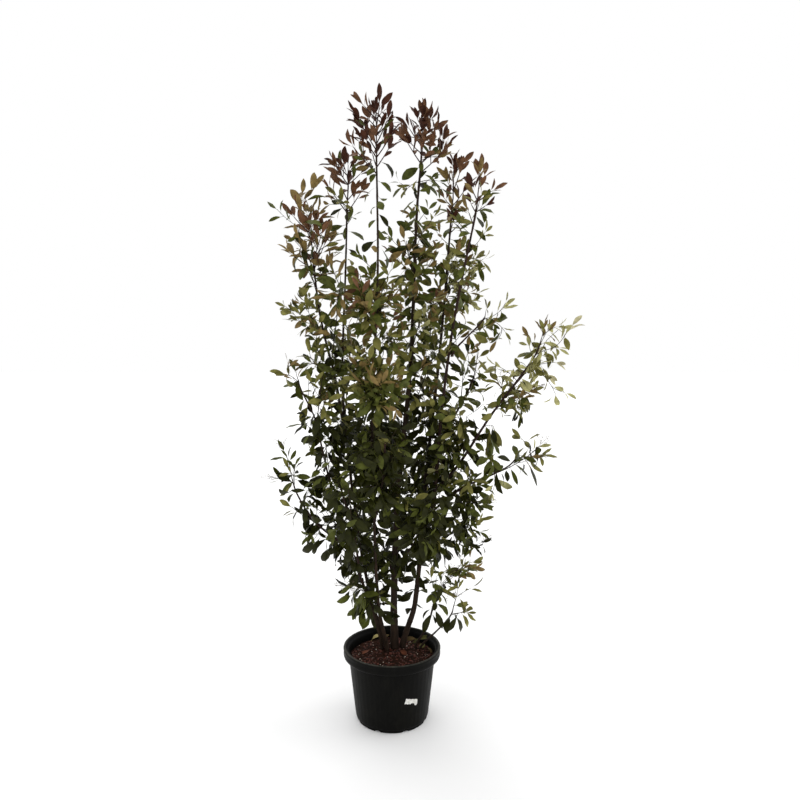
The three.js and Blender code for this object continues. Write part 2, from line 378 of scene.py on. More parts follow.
class Solid:
    """A mass of foliage: tells what lies inside it, and how deep."""

    def __init__(self, node):
        mesh = frame["nodes"][node].data
        points = [vertex.co.copy() for vertex in mesh.vertices]
        faces = [list(face.vertices) for face in mesh.polygons]
        self.tree = BVHTree.FromPolygons(points, faces)
        corners = np.array([[points[index][:] for index in face[:3]] for face in faces])
        prisms = np.einsum("ij,ij->i", corners[:, 0], np.cross(corners[:, 1], corners[:, 2]))
        self.litres = 1000.0 * abs(prisms.sum()) / 6.0
        self.low, self.high = (np.array(corner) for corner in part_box(node))
        self.middle = (self.low + self.high) / 2.0

    def depth(self, point):
        """Distance below the surface, which is negative outside."""
        nearest, normal, _, distance = self.tree.find_nearest(Vector(point))
        outside = (Vector(point) - nearest).dot(normal) > 0
        return -distance if outside else distance

    def scattered(self, count, shallow, deep, foot_share):
        """Points inside, spread well apart, between two depths and above the solid's foot."""
        floor = self.low[2] + foot_share * (self.high - self.low)[2]
        found = []
        for _ in range(SCATTER_ROUNDS):
            for point in rng.uniform(self.low, self.high, (count * DRAWS_A_ROUND, 3)):
                if point[2] > floor and shallow < self.depth(point) < deep:
                    found.append(point)
            if len(found) > count * DRAWS_ENOUGH:
                break
        if not found:
            return [self.middle]
        found = np.array(found)
        chosen = [found[0]]
        gaps = np.linalg.norm(found - found[0], axis=1)
        while len(chosen) < min(count, len(found)):
            pick = int(np.argmax(gaps * rng.uniform(0.75, 1.0, len(gaps))))
            chosen.append(found[pick])
            gaps = np.minimum(gaps, np.linalg.norm(found - found[pick], axis=1))
        return chosen


class Ball(Solid):
    """A round space between the masses where the crown is leafy too."""

    def __init__(self, middle, radius):
        self.middle, self.radius = np.array(middle), radius
        self.low, self.high = self.middle - radius, self.middle + radius

    def depth(self, point):
        return self.radius - float(np.linalg.norm(np.asarray(point) - self.middle))


def deepest(point, solids):
    """How deep a point lies in whichever solid it is deepest in."""
    return max(solid.depth(point) for solid in solids)


# ---------- how the foliage looks from zone to zone ----------

# Leaf colours, and how rough the leaf is. Most are kept dark, as painted shade of a crown lit from behind.
LEAF_COLOURS = {
    "maroon": ("42261a", 0.5),
    "copper": ("644630", 0.5),
    "bronze": ("77643c", 0.48),
    "olive": ("6e6b37", 0.46),
    "green": ("4b5020", 0.42),
    # The darkest is a real dark green, and also painted shade, most of all in the dense inside of the crown.
    "deep": ("252709", 0.4),
    # The two lightest are painted light: the glow of light shining through leaves on the right of the crown.
    "lime": ("a3a06d", 0.5),
    "pale": ("b6b08c", 0.5),
}


def named_rows(fields, table):
    """The table with a name for each number in its rows."""
    return {key: dict(zip(fields.split(), row)) for key, row in table.items()}


# A leaf's form: blade length, width as a share of it, degrees from the twig, curl down the blade and fold
# along the midrib in degrees, how far it hangs, how far its face turns to the light, and how freely it
# turns.
FORMS = named_rows("length width angle curl fold droop sunward twist", {
    "young": (0.064, 0.35, 44.0, 18.0, 32.0, -0.2, 0.3, 0.4),
    "middling": (0.055, 0.34, 46.0, 30.0, 20.0, 0.2, 0.35, 0.4),
    "mature": (0.067, 0.36, 58.0, 56.0, 16.0, 0.9, 0.4, 0.4),
    "large": (0.082, 0.34, 62.0, 48.0, 16.0, 1.8, 0.3, 0.4),
    "hanging": (0.071, 0.40, 66.0, 72.0, 14.0, 0.9, 0.2, 0.6),
    "low": (0.078, 0.36, 50.0, 30.0, 14.0, 2.2, 0.15, 0.5),
    "narrow": (0.060, 0.34, 60.0, 56.0, 16.0, 1.0, 0.25, 0.6),
})

# How the twigs of a mass grow: twigs in a litre of solid, how steeply they rise, how far they curve up, the
# space between leaves, the leaves close round a twig's tip, and the leaf forms at the tip and below it.
# A spray has whorls of twigs instead of so many in a litre.
GROWTHS = named_rows("twigs rise lift gap rosette tip older", {
    "spray": (None, 0.66, 0.12, 0.024, 3, "young", "young"),
    "upper": (5.0, 0.5, 0.08, 0.020, 2, "middling", "mature"),
    "mid": (5.0, 0.4, 0.06, 0.020, 2, "middling", "mature"),
    "dense": (3.6, 0.25, 0.02, 0.018, 3, "mature", "large"),
    "edge": (5.2, 0.3, 0.04, 0.024, 2, "middling", "large"),
    "sparse": (3.8, 0.6, 0.03, 0.027, 2, "middling", "hanging"),
    "skirt": (4.6, 0.2, 0.02, 0.034, 2, "low", "low"),
    "open": (4.6, 0.25, 0.03, 0.034, 2, "middling", "narrow"),
    "bright": (5.4, 0.3, 0.03, 0.026, 2, "middling", "narrow"),
})

# Shares of the leaf colours at a twig's tip, and below it. The lit and shaded palettes, and those marked
# below, paint light and shade into the leaf colours.
PALETTES = {
    "crimson": (dict(maroon=0.65, copper=0.35), dict(copper=0.5, maroon=0.3, green=0.2)),
    "copper": (dict(copper=0.5, maroon=0.5), dict(copper=0.4, bronze=0.35, green=0.25)),
    "rust": (dict(copper=0.45, bronze=0.3, maroon=0.25), dict(bronze=0.35, copper=0.25, green=0.4)),
    "bronzed": (dict(bronze=0.6, copper=0.4), dict(bronze=0.45, olive=0.35, green=0.2)),
    "tinged": (
        dict(bronze=0.35, olive=0.4, copper=0.1, green=0.15), dict(green=0.65, olive=0.25, bronze=0.1)
    ),
    # Painted light: lighter colours for the right of the crown, where the light falls.
    "gilded": (dict(olive=0.4, bronze=0.3, lime=0.3), dict(olive=0.45, green=0.4, lime=0.15)),
    "mixed": (dict(olive=0.5, bronze=0.2, green=0.3), dict(green=0.55, olive=0.25, deep=0.2)),
    "shaded": (dict(green=0.35, deep=0.55, olive=0.1), dict(deep=0.85, green=0.15)),
    "lit": (dict(green=0.5, olive=0.4, lime=0.1), dict(green=0.5, deep=0.5)),
    "leader": (dict(olive=0.3, bronze=0.3, green=0.4), dict(green=0.7, deep=0.2, olive=0.1)),
    # Painted shade: darker colours for the shaded left, front and foot of the crown.
    "dusky": (dict(green=0.5, olive=0.15, deep=0.35), dict(green=0.4, deep=0.6)),
    # Painted light: pale yellow-greens for the long bough, where the light shines through its leaves.
    "lime": (dict(lime=0.6, bronze=0.15, pale=0.25), dict(lime=0.5, olive=0.4, green=0.1)),
}


def style(look):
    """How foliage grows and is coloured. A look is the name of a growth and of a palette."""
    growth, palette = look.split()
    return {**GROWTHS[growth], "colours": PALETTES[palette]}


# The masses of each look, and how thickly twigs or whorls stand in each, as a share of what the look's growth
# gives.
MASS_LOOKS = {
    "spray crimson": dict(spray_centre=1.3),
    "spray copper": dict(spray_centre_right=1.1, spray_centre_left=0.8),
    "spray rust": dict(spray_right=0.7, spray_far_right=0.72),
    "spray bronzed": dict(spray_left=0.85),
    "upper tinged": dict(upper_left=0.54, upper_centre=1.8, upper_centre_right=0.58),
    "upper gilded": dict(upper_right=0.77),
    "mid gilded": dict(mid_right=0.3, mid_back_right=0.14),
    "sparse gilded": dict(mid_far_right=0.12, twig_right=1.05, side_right=0.09, side_tip_right=0.05),
    "mid mixed": dict(mid_left=0.48, mid_back_left=0.32, mid_front=2.2),
    "sparse mixed": dict(mid_left_tip=0.8, left_tip=0.6),
    "edge dusky": dict(low_right=0.95),
    "skirt dusky": dict(skirt_left=0.58),
    "open mixed": dict(skirt_right=0.5, skirt_low_right=0.08),
    "dense dusky": dict(centre_left=0.25, back_left=0.4, front_left=0.11),
    "dense shaded": dict(
        centre_back=2.7, centre_front=1.2, front_right=1.6, low_centre_left=0.18, low_centre_right=0.2
    ),
    "edge shaded": dict(low_left=0.4),
    "dense lit": dict(centre_right=0.17, back_right=0.78),
    "bright lime": dict(bough_tip_right=0.42),
    "bright gilded": dict(bough_mid_right=1.25),
}
STYLES = {
    node: {**style(look), "density": share}
    for look, masses in MASS_LOOKS.items()
    for node, share in masses.items()
}

# Seeds of the sprays, whose growth was chosen by its look. The other masses, the leafy spaces and the limbs
# count up, each kind from its own first seed.
SEEDS = dict(
    spray_left=36, spray_centre_left=6, spray_centre=42, spray_centre_right=35, spray_right=21,
    spray_far_right=38,
)
FIRST_SEED = 100
FILL_SEED = 200
LIMB_SEED = 300

# Leafy spaces between the masses: middle, radius, look and number of twigs.
FILLS = (
    ((0.315, 0.05, 0.965), 0.07, "dense lit", 9),
    ((0.290, -0.02, 0.640), 0.055, "open lit", 6),
    ((0.185, 0.0, 0.715), 0.06, "dense shaded", 8),
    ((-0.215, 0.05, 1.215), 0.06, "dense shaded", 6),
    ((-0.075, -0.03, 0.630), 0.05, "edge shaded", 6),
    ((0.010, -0.08, 1.560), 0.07, "mid tinged", 10),
    ((0.195, 0.05, 2.290), 0.06, "spray rust", 4),
    ((0.300, 0.10, 1.700), 0.06, "upper gilded", 4),
    ((-0.300, -0.08, 1.480), 0.05, "mid mixed", 5),
    ((-0.220, 0.02, 2.079), 0.05, "upper leader", 2),
    ((0.041, 0.10, 2.175), 0.05, "upper leader", 2),
    ((-0.325, -0.04, 2.110), 0.04, "spray bronzed", 2),
    ((0.328, 0.08, 1.584), 0.06, "sparse gilded", 3),
    ((0.656, -0.08, 1.355), 0.05, "bright lime", 2),
    ((-0.334, -0.05, 0.865), 0.05, "edge dusky", 4),
    ((-0.211, -0.06, 1.220), 0.05, "dense shaded", 4),
    ((0.179, 0.05, 1.712), 0.05, "upper tinged", 4),
    ((0.514, 0.06, 1.270), 0.05, "open dusky", 4),
    ((0.451, 0.05, 1.567), 0.05, "open gilded", 2),
    ((-0.338, 0.02, 1.446), 0.04, "open mixed", 2),
    ((0.175, 0.02, 2.156), 0.04, "upper leader", 2),
    ((0.067, 0.19, 1.800), 0.06, "upper tinged", 3),
    ((-0.199, -0.16, 1.690), 0.06, "upper tinged", 4),
    ((0.208, 0.20, 1.710), 0.06, "upper gilded", 4),
    ((-0.213, 0.22, 1.574), 0.06, "mid mixed", 5),
    ((0.067, 0.20, 1.329), 0.06, "mid mixed", 6),
    ((-0.213, 0.20, 1.191), 0.06, "dense shaded", 5),
    ((-0.070, 0.12, 0.650), 0.06, "dense shaded", 5),
    ((0.314, -0.05, 0.645), 0.05, "open mixed", 4),
    ((0.433, 0.0, 1.440), 0.04, "open lime", 2),
    ((0.410, 0.03, 1.185), 0.04, "skirt lit", 3),
)

# The style of what grows on the limbs between the masses, up to each height.
LIMB_STYLES = (
    (0.85, style("edge shaded")),
    (1.25, style("dense shaded")),
    (1.60, style("mid mixed")),
    (1.90, style("upper tinged")),
    (9.00, style("upper leader")),
)
# The lit palette paints light into the leaf colours on the lower right of the crown, and the backlit one into
# those of the long bough.
LIT_SIDE, LIT_TOP = 0.17, 1.25  # right of this and below this, the foliage is lit
LIT_STYLE = style("dense lit")
BOUGH_SIDE, BOUGH_FLOOR = 0.46, 1.2  # right of this and above this, the long bough is bright
BOUGH_STYLE = style("bright lime")


def style_at(place):
    """The style of a twig on a limb."""
    if place[0] > BOUGH_SIDE and place[2] > BOUGH_FLOOR:
        return BOUGH_STYLE
    if place[0] > LIT_SIDE and place[2] < LIT_TOP:
        return LIT_STYLE
    return next(found for top, found in LIMB_STYLES if place[2] < top)


def picked(shares):
    names = list(shares)
    weights = np.array([shares[name] for name in names])
    return names[int(rng.choice(len(names), p=weights / weights.sum()))]


# ---------- leaves ----------

# A leaf's outline: stations along the blade and its half width there, as shares of the length and width.
STATIONS = np.array([0.0, 0.12, 0.3, 0.52, 0.72, 0.87, 0.96])
HALF_WIDTHS = np.array([0.06, 0.38, 0.79, 1.0, 0.87, 0.52, 0.18])
COLUMNS = np.array([-1.0, -0.5, 0.0, 0.5, 1.0])
PETIOLE_HALF_WIDTH = 0.9 * MM
PETIOLE_RIDGE = 0.6  # its height, as a share of that
PETIOLES = (0.15, 0.28)  # their length, as a share of the blade's
REACH_SHARE = 1.25  # how far a leaf reaches from the twig, in blade lengths
CURL_POWER = 1.4  # the blade curls more towards its tip
EDGE_DROP = 0.22  # how far the edges roll down, as a share of the half width
RIPPLE, RIPPLE_WAVES = 0.1, 14.0  # height of the edge's ripple as a share of the half width, and its waves


def leaf_faces():
    """Triangles of one leaf: the petiole and blade as a grid, and a fan to the tip."""
    columns = len(COLUMNS)
    last = len(STATIONS) * columns
    steps = range(columns - 1)
    faces = []
    for corner in [row + step for row in range(0, last, columns) for step in steps]:
        faces.append((corner, corner + 1, corner + columns + 1))
        faces.append((corner, corner + columns + 1, corner + columns))
    faces += [(last + step, last + step + 1, last + columns) for step in steps]
    return np.array(faces)


LEAF_FACES = leaf_faces()


class Leaves:
    """All leaves of one colour: where each starts, where it points, how its face looks, and its form."""

    def __init__(self):
        self.rows = []

    def add(self, place, pointing, facing, form, size=1.0):
        length = size * form["length"] * rng.uniform(0.75, 1.15)
        tip = place + pointing * length * REACH_SHARE
        if (tip < LIMITS[0]).any() or (tip > LIMITS[1]).any():
            return
        half = 0.5 * length * form["width"] * rng.uniform(0.88, 1.12)
        curl = math.radians(form["curl"] * rng.uniform(0.3, 1.5))
        fold = math.radians(form["fold"] * rng.uniform(0.5, 1.5))
        petiole = length * rng.uniform(*PETIOLES)
        self.rows.append([*place, *pointing, *facing, length, half, curl, fold, petiole, any_turn()])

    def build(self, name, material, slot):
        rows = np.array(self.rows)
        place, pointing, facing = rows[:, 0:3], unit(rows[:, 3:6]), rows[:, 6:9]
        length, half, curl, fold, petiole, phase = (rows[:, i, None] for i in range(9, 15))
        facing = unit(facing - pointing * (facing * pointing).sum(1, keepdims=True))
        aside = np.cross(pointing, facing)
        # The spine runs down the blade, and bends away from the side that the leaf faces.
        shares = np.concatenate([STATIONS, [1.0]])[None]
        angle = curl * shares**CURL_POWER
        steps = np.diff(shares, axis=1) * length
        bend = (angle[:, 1:] + angle[:, :-1]) / 2.0
        forward = np.concatenate([petiole, petiole + np.cumsum(steps * np.cos(bend), 1)], 1)
        down = np.concatenate([petiole * 0.0, np.cumsum(steps * np.sin(bend), 1)], 1)
        spine = place[:, None] + pointing[:, None] * forward[..., None] - facing[:, None] * down[..., None]
        normal = facing[:, None] * np.cos(angle)[..., None] + pointing[:, None] * np.sin(angle)[..., None]
        # The blade stands off the spine: folded up from the midrib, rolled down at the edges, and rippled.
        width = HALF_WIDTHS[None] * half
        lift = np.abs(COLUMNS) * np.sin(fold)[:, None] - EDGE_DROP * COLUMNS**2
        wave = RIPPLE * np.sin(RIPPLE_WAVES * STATIONS[None] + phase)[:, :, None] * COLUMNS**2
        rise = (lift + wave) * width[:, :, None]
        blade = (
            spine[:, :-1, None]
            + aside[:, None, None] * (width[:, :, None] * COLUMNS)[..., None]
            + normal[:, :-1, None] * rise[..., None]
        )
        stalk = place[:, None] + aside[:, None] * (PETIOLE_HALF_WIDTH * COLUMNS)[None, :, None]
        ridge = PETIOLE_RIDGE * PETIOLE_HALF_WIDTH * np.abs(COLUMNS)
        stalk = stalk + facing[:, None] * ridge[None, :, None]
        points = np.concatenate([stalk, blade.reshape(len(rows), -1, 3), spine[:, -1:]], 1)
        offsets = (np.arange(len(rows)) * points.shape[1])[:, None, None]
        faces = (LEAF_FACES[None] + offsets).reshape(-1, 3)
        return make_piece(name, points.reshape(-1, 3), faces.tolist(), material)


leaves = {colour: Leaves() for colour in LEAF_COLOURS}
CROWN_AXIS = np.array([0.05, 0.0, 0.0])  # the upright line that the leaves turn away from
# No leaf's tip passes these corners, which lie a little outside the solids.
PROUD = 0.012
LIMITS = (
    np.min([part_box(node)[0] for node in SLOT_OF], axis=0) - PROUD,
    np.max([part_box(node)[1] for node in SLOT_OF], axis=0) + PROUD,
)


def leaf_on(colour, form, place, along, turn, size=1.0, spread=1.0):
    """Puts a leaf on a twig: along is the twig's direction, and turn is the leaf's angle round it."""
    across = across_of(along)
    outward = across * math.cos(turn) + np.cross(along, across) * math.sin(turn)
    angle = math.radians(form["angle"] * spread * rng.uniform(0.7, 1.3))
    pointing = along * math.cos(angle) + outward * math.sin(angle)
    pointing = unit(pointing - UP * form["droop"] * rng.uniform(0.2, 1.2) + rng.normal(0.0, 0.1, 3))
    natural = along * math.sin(angle) - outward * math.cos(angle)
    from_axis = unit((place - CROWN_AXIS) * (1.0 - UP))
    sunward = unit(0.5 * UP + 0.5 * from_axis + rng.normal(0.0, 0.5, 3))
    facing = natural * (1.0 - form["sunward"]) + sunward * form["sunward"]
    leaves[colour].add(place, pointing, facing + rng.normal(0.0, form["twist"], 3), form, size)


# ---------- twigs ----------

GOLDEN_TURN = math.radians(137.5)
TWIG_SIDES = 5
TWIG_POINTS = 7
TWIG_TIP_RADIUS = 0.9 * MM
YOUNG_TIP_RADIUS = 1.5 * MM
BARE_TIP = 0.006  # how far below a twig's tip the last single leaf may stand
TIP_SHARE = 0.5  # share of a twig's length that has the leaves of its tip
GAP_SPREAD = (0.75, 1.3)
young_twigs = MeshParts()
old_twigs = MeshParts()


def bezier(start, handle, end, count):
    """Points of a curve from start to end that leans towards the handle."""
    share = np.linspace(0.0, 1.0, count)[:, None]
    return (1 - share) ** 2 * start + 2 * share * (1 - share) * handle + share**2 * end


def reach_along(path):
    """How far each point is from the first, measured along the path."""
    return np.concatenate([[0.0], np.cumsum(np.linalg.norm(np.diff(path, axis=0), axis=1))])


def grow_twig(path, foot_radius, zone, bare_share, young=False):
    """A twig, with leaves along it from its bare foot to the close few at its tip."""
    tip_radius = YOUNG_TIP_RADIUS if young else TWIG_TIP_RADIUS
    radii = np.linspace(foot_radius, tip_radius, len(path))
    (young_twigs if young else old_twigs).add(*tube(path, radii, TWIG_SIDES))
    tip_colour, older_colour = (picked(shares) for shares in zone["colours"])
    tip_form, older_form = FORMS[zone["tip"]], FORMS[zone["older"]]
    reach, tangents = reach_along(path), directions_of(path)
    turn = any_turn()
    distance = reach[-1] * bare_share
    while distance < reach[-1] - BARE_TIP:
        place, along = (
            np.array([np.interp(distance, reach, rows[:, i]) for i in range(3)]) for rows in (path, tangents)
        )
        near_tip = distance > TIP_SHARE * reach[-1]
        colour, form = (tip_colour, tip_form) if near_tip else (older_colour, older_form)
        leaf_on(colour, form, place, unit(along), turn)
        turn += GOLDEN_TURN + rng.normal(0.0, 0.25)
        distance += zone["gap"] * rng.uniform(*GAP_SPREAD)
    for index in range(zone["rosette"]):
        size, spread = 0.95 - 0.1 * index, 0.2 + 0.4 * index
        leaf_on(tip_colour, tip_form, path[-1], tangents[-1], turn, size, spread)
        turn += GOLDEN_TURN


class Feeder:
    """A place on a limb or twig where some more twigs may start, which may be dearer than elsewhere."""

    def __init__(self, place, along, radius, free, dearness=1.0):
        self.place, self.along, self.radius = place, along, radius
        self.free, self.dearness = free, dearness


HUB_STEP = 0.05  # space between the joints on a limb where twigs leave it
FEEDER_REACH = 0.03  # how far outside a mass a limb can still feed it
MOST_AT_A_JOINT = 3
MOST_AT_A_LONE_JOINT = 9
LOOK_STEP = 3  # every third point of the limbs is tried for the lone joint


def limb_feeders(solid, axes):
    feeders = []
    step = round(HUB_STEP / AXIS_STEP)
    for path, radii in axes.values():
        tangents = directions_of(path)
        for index in [*range(int(rng.integers(1, step)), len(path), step), len(path) - 1]:
            if solid.depth(path[index]) > -FEEDER_REACH:
                feeders.append(Feeder(path[index], tangents[index], radii[index], MOST_AT_A_JOINT))
    return feeders


def nearest_feeder(solid, axes):
    """The limb point nearest to a mass that no limb reaches."""
    best_depth, best = -math.inf, None
    for path, radii in axes.values():
        depths = [solid.depth(point) for point in path[::LOOK_STEP]]
        index = LOOK_STEP * int(np.argmax(depths))
        if max(depths) > best_depth:
            best_depth = max(depths)
            best = Feeder(path[index], directions_of(path)[index], radii[index], MOST_AT_A_LONE_JOINT)
    return best


FORK_COST = 1.3  # how much dearer a start on another twig is than one on a limb
LEADER_REACHES = np.arange(0.05, 0.5, 0.01)  # lengths that are tried for a leader
LEADER_COVER = 0.012  # how deep a leader's end stays in its mass
LEADER_LEAF_REACH = 0.045  # how much of its last leaf a leader leaves room for
SHORTEST_LEADER = 0.03
LEADER_STEP = 0.025
LEADER_WOBBLE = 0.0012
LEADER_BARE = 0.3
LEADER_FORK_RADIUS = 2.0 * MM
MOST_AT_A_FORK = 2


def leader_line(solid, limb):
    """The way on from a limb's end to the head of the mass that it ends in, or None."""
    foot = limb[0][-1]
    if solid.depth(foot) < -FEEDER_REACH:
        return None
    along = directions_of(limb[0])[-1]
    way = unit(along + 0.5 * UP)
    inside = [reach for reach in LEADER_REACHES if solid.depth(foot + way * reach) > LEADER_COVER]
    if not inside:
        return None
    length = max(SHORTEST_LEADER, float(inside[-1]) - LEADER_LEAF_REACH)
    handle, head = foot + along * 0.4 * length, foot + way * length
    line = bezier(foot, handle, head, max(5, int(length / LEADER_STEP)))
    line[1:] += np.cumsum(rng.normal(0.0, LEADER_WOBBLE, line.shape), axis=0)[1:]
    return line


def grow_leader(solid, limb, zone):
    """Carries a limb that ends inside a mass on to the mass's head, and gives new starts for twigs."""
    line = leader_line(solid, limb)
    if line is None:
        return []
    grow_twig(line, limb[1][-1], zone, LEADER_BARE, zone["tip"] == "young")
    starts = list(zip(line, directions_of(line)))[1:-1:2]
    return [Feeder(place, along, LEADER_FORK_RADIUS, MOST_AT_A_FORK, FORK_COST) for place, along in starts]


WHORL_STEP = 0.036  # space between the whorls of a spray
WHORL_TWIGS = (2, 3)
WHORL_START = 0.12  # how far below its end a limb carries the first whorl
WHORL_END = 0.045  # how much of the leader's tip bears no whorl
WHORL_ANGLES = (38.0, 58.0)  # degrees between a side twig and the leader
SPRAY_TWIG_LENGTHS = (0.03, 0.15)
SPRAY_TAPER = 0.7  # how much shorter the side twigs are at the leader's tip than at its foot
SPRAY_LEAF_REACH = 0.045  # how much of its last leaf a side twig leaves room for
SPRAY_BARE = (0.42, 0.55)  # share of a side twig below its first leaf
SPRAY_LEADER_BARE = 0.55
SPRAY_FOOT, SPRAY_FORK_FOOT = 2.6 * MM, 2.0 * MM  # most radius of its foot, and of where it forks
FORKED_LENGTH, FORKED_SHARE = 0.07, 0.6  # which side twigs may fork, and how many of them do
PROBE_START, PROBE_STEP = 0.02, 0.006  # how a side twig feels its way to the face of the spray


def spray_twig(solid, place, along, turn, radius, zone, longest):
    """A straight side twig, bare on its lower half, out to the face of the spray."""
    across = unit(np.cross(along, heading(turn, 0.3)))
    angle = math.radians(rng.uniform(*WHORL_ANGLES))
    way = unit(along * math.cos(angle) + across * math.sin(angle))
    reach = PROBE_START
    while reach < longest + SPRAY_LEAF_REACH and solid.depth(place + way * reach) > 0.0:
        reach += PROBE_STEP
    length = (reach - SPRAY_LEAF_REACH) * rng.uniform(0.85, 1.0)
    if length < SPRAY_TWIG_LENGTHS[0]:
        return
    tip = place + way * length + UP * 0.1 * length
    path = bezier(place, place + way * 0.5 * length, tip, TWIG_POINTS)
    grow_twig(path, min(0.9 * radius, SPRAY_FOOT), zone, rng.uniform(*SPRAY_BARE), young=True)
    if length > FORKED_LENGTH and rng.random() < FORKED_SHARE:
        middle = TWIG_POINTS // 2
        fork_along = directions_of(path)[middle]
        spray_twig(solid, path[middle], fork_along, turn + any_turn(), SPRAY_FORK_FOOT, zone, 0.5 * length)


def grow_spray(zone, solid, axes):
    """A head of red young growth: the leader, with whorls of straight side twigs from its forks."""
    for path, radii in axes.values():
        line = leader_line(solid, (path, radii))
        if line is None:
            continue
        grow_twig(line, radii[-1], zone, SPRAY_LEADER_BARE, young=True)
        whole = np.concatenate([path[-1 - round(WHORL_START / AXIS_STEP) : -1], line])
        tangents, reach = directions_of(whole), reach_along(whole)
        turn = any_turn()
        for distance in np.arange(0.0, reach[-1] - WHORL_END, WHORL_STEP / zone["density"]):
            index = int(np.searchsorted(reach, distance))
            longest = SPRAY_TWIG_LENGTHS[1] * (1.0 - SPRAY_TAPER * distance / reach[-1])
            for _ in range(int(rng.choice(WHORL_TWIGS))):
                turn += GOLDEN_TURN + rng.normal(0.0, 0.3)
                spray_twig(solid, whole[index], tangents[index], turn, radii[-1], zone, longest)


STEEP_COST = 2.4
BEND_COST = 0.8
SHORTEST_TWIG = 0.035
LONG_TWIG = 0.085
BARE_LONG = 0.42  # share of a long twig below its first leaf
BARE_SHORT = 0.15
STRAGGLERS = 0.2  # share of the twigs that end in the rim of the mass
RIM = (0.034, 0.2)  # how thick the rim is at most, and as a share of the mass's smallest side
FOOT_SHARE = 0.06  # share of a mass's height in which no twig ends
FEWEST_TWIGS = 2
HANDLE_SPREAD = 0.035  # how much a twig strays from its curve, as a share of its length
TWIG_FOOT = (1.1 * MM, 7.0 * MM)  # its foot's radius at no length, and what each metre adds
FORK_POINTS = (2, 3, 4, 5)


def cheapest(feeders, target, zone):
    """The feeder from which a twig reaches the target with the least length, slope and bend."""
    ways = target - np.array([feeder.place for feeder in feeders])
    alongs = np.array([feeder.along for feeder in feeders])
    distances = np.maximum(np.linalg.norm(ways, axis=1), 1e-6)
    slopes = ways[:, 2] / distances
    bends = 1.0 - (ways * alongs).sum(1) / distances
    costs = distances * (1.0 + STEEP_COST * np.maximum(0.0, zone["rise"] - slopes) + BEND_COST * bends)
    costs *= np.array([feeder.dearness for feeder in feeders])
    closed = np.array([feeder.free < 1 for feeder in feeders]) | (distances < SHORTEST_TWIG)
    costs[closed] = np.inf
    best = int(np.argmin(costs))
    return None if closed[best] else feeders[best]


def twig_count(zone, solid):
    return max(FEWEST_TWIGS, round(zone["twigs"] * zone["density"] * solid.litres))


def grow_mass(zone, solid, count, axes, leads=True):
    """Fills a mass with twigs that rise from the limbs, and from earlier twigs, to points inside it."""
    feeders = limb_feeders(solid, axes)
    for limb in axes.values() if leads else ():
        feeders += grow_leader(solid, limb, zone)
    feeders = feeders or [nearest_feeder(solid, axes)]
    smallest = float((solid.high - solid.low).min())
    inset = min(RIM[0], RIM[1] * smallest)
    stragglers = round(STRAGGLERS * count)
    targets = solid.scattered(count - stragglers, inset, inset + 0.5 * smallest, FOOT_SHARE)
    if stragglers:
        targets += solid.scattered(stragglers, 0.0, inset, FOOT_SHARE)
    targets.sort(key=lambda target: min(np.linalg.norm(target - feeder.place) for feeder in feeders))
    tips = []
    for target in targets:
        feeder = cheapest(feeders, target, zone)
        if feeder is None:
            continue
        feeder.free -= 1
        way = target - feeder.place
        distance = float(np.linalg.norm(way))
        start = unit(0.5 * feeder.along + way / distance)
        handle = feeder.place + start * distance * 0.5 - UP * zone["lift"] * distance
        handle += rng.normal(0.0, HANDLE_SPREAD, 3) * distance
        path = bezier(feeder.place, handle, target, TWIG_POINTS)
        foot_radius = min(0.8 * feeder.radius, TWIG_FOOT[0] + TWIG_FOOT[1] * distance)
        grow_twig(path, foot_radius, zone, BARE_LONG if distance > LONG_TWIG else BARE_SHORT)
        tangents = directions_of(path)
        tips.append((path[-1], tangents[-1]))
        for index in FORK_POINTS:
            feeders.append(Feeder(path[index], tangents[index], foot_radius, 1, FORK_COST))
    return tips


LATERAL_STEP = 0.15  # space between the laterals of a limb
LATERAL_HEIGHTS = (0.62, 1.9)
LATERAL_LENGTHS = (0.14, 0.36)
LATERAL_SHORTENING = 0.02
LATERAL_COVER = 0.01  # how deep in some mass a lateral ends
LATERAL_ANGLE = 24.0  # degrees from the limb
LATERAL_RADII = (2.6 * MM, 1.2 * MM)  # the most at its foot, and at its tip
LATERAL_SIDES = 6


def grow_laterals(axes, solids):
    """Long thin shoots that climb beside the limbs, where some mass holds them."""
    laterals = {}
    for path, radii in axes.values():
        tangents = directions_of(path)
        turn = any_turn()
        for index in range(int(rng.integers(2, 9)), len(path) - 3, round(LATERAL_STEP / AXIS_STEP)):
            turn += GOLDEN_TURN + rng.normal(0.0, 0.3)
            place = path[index]
            if not LATERAL_HEIGHTS[0] < place[2] < LATERAL_HEIGHTS[1]:
                continue
            way = unit(tangents[index] + math.tan(math.radians(LATERAL_ANGLE)) * heading(turn))
            length = rng.uniform(*LATERAL_LENGTHS)
            while length > LATERAL_LENGTHS[0]:
                tip = place + unit(way + 0.25 * UP) * length
                if deepest(tip, solids) > LATERAL_COVER:
                    break
                length -= LATERAL_SHORTENING
            else:
                continue
            line = bezier(place, place + way * 0.5 * length, tip, max(6, round(length / AXIS_STEP)))
            foot_radius = min(0.7 * radii[index], LATERAL_RADII[0])
            thickness = np.linspace(foot_radius, LATERAL_RADII[1], len(line))
            old_twigs.add(*tube(line, thickness, LATERAL_SIDES))
            laterals["lateral_%d" % len(laterals)] = (line, thickness)
    return laterals


STEM_LEAF_STEP = 0.030  # space between the single leaves on a limb
LOWEST_STEM_LEAF = 0.42
STEM_LEAF_SIZES = (0.8, 1.15)
# Spurs are short leafy twigs straight on the limbs between the masses.
SPUR_STEP = 0.07
SPUR_LENGTHS = (0.05, 0.12)
SPUR_HEIGHTS = (0.42, 2.22)
SPUR_STRAY = 0.05  # how far outside the masses a spur may end
SPUR_FOOT = 1.5 * MM  # its foot's radius, at most
SPUR_BARE = 0.25
SPUR_POINTS = 6


